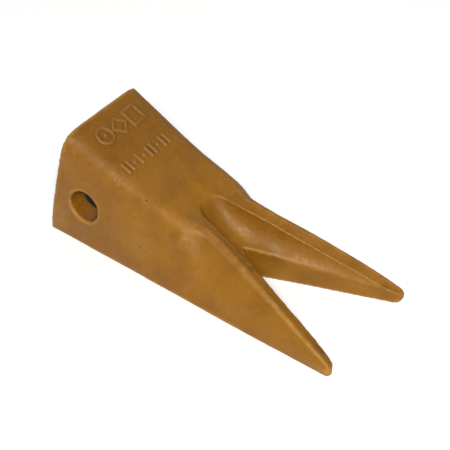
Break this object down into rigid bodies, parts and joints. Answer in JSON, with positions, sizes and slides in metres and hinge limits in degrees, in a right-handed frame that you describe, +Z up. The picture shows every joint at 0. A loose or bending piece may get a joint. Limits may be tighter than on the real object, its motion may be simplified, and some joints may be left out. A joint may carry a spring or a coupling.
{
  "type": "excavator bucket tooth",
  "caption": "Twin-prong cast bucket tooth tip with a tapered adapter pocket, a side cross pin and a split retainer ring.",
  "frame": {"origin": "middle of the flat underside, halfway from the rear bottom edge to the tips and on the casting's centre plane", "axes": "+X towards the tips, +Y across the tooth, the side the pin is backed off to, +Z up from the underside"},
  "size_m": [0.322, 0.1396, 0.1156],
  "materials": {
    "ochre_paint": "satin ochre paint over cast steel",
    "pin_steel": "turned, lightly oiled",
    "spring_steel": "black phosphated spring steel"
  },
  "bodies": {
    "tip": {"tooth_tip": "ochre_paint"},
    "pin": {"retaining_pin": "pin_steel"},
    "ring": {"retainer_ring": "spring_steel"}
  },
  "joints": [
    {"name": "pin_slide", "type": "slide", "parent": "tip", "child": "pin", "axis": [0, 1, 0], "range_m": [-0.024, 0.036]},
    {"name": "ring_turn", "type": "hinge", "parent": "pin", "child": "ring", "pos_m": [-0.1172, -0.006, 0.0468], "axis": [0, 1, 0], "continuous": true}
  ]
}
